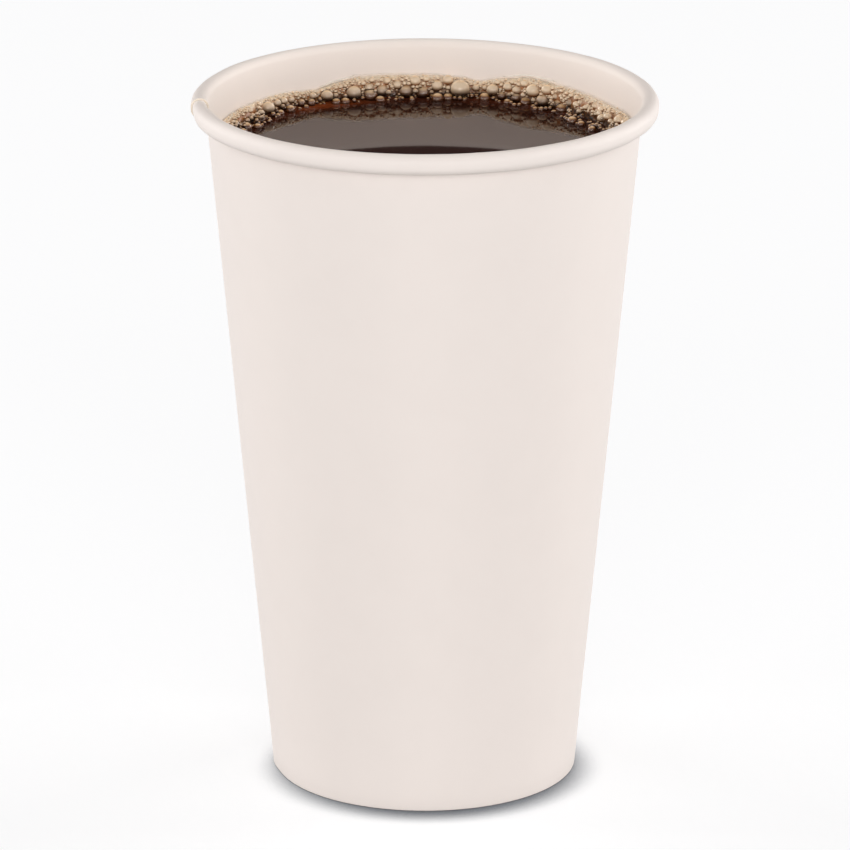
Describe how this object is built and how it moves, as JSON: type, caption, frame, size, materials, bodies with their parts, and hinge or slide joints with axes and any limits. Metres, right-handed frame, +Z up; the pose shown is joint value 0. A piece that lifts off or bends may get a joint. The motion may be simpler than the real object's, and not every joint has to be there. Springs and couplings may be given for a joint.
{
  "type": "paper coffee cup",
  "caption": "Open tapered paper cup with a rolled rim, a lapped side seam and a recessed bottom, filled with black coffee under a ring of froth.",
  "frame": {"origin": "middle of the foot, on the surface that the cup stands on", "axes": "+Z up along the cup's axis; -Y towards the viewer; the side seam is near -X"},
  "size_m": [0.09, 0.09, 0.1357],
  "materials": {
    "cup_paper": "smooth white cup board with a thin matt-satin film",
    "disc_paper": "smooth white cup board",
    "coffee": "still, glossy black coffee",
    "froth": "wet, shiny bubbles with pale brown films"
  },
  "bodies": {
    "root": {"side_wall": "cup_paper", "bottom_disc": "disc_paper", "coffee": "coffee", "froth": "froth"}
  },
  "joints": []
}
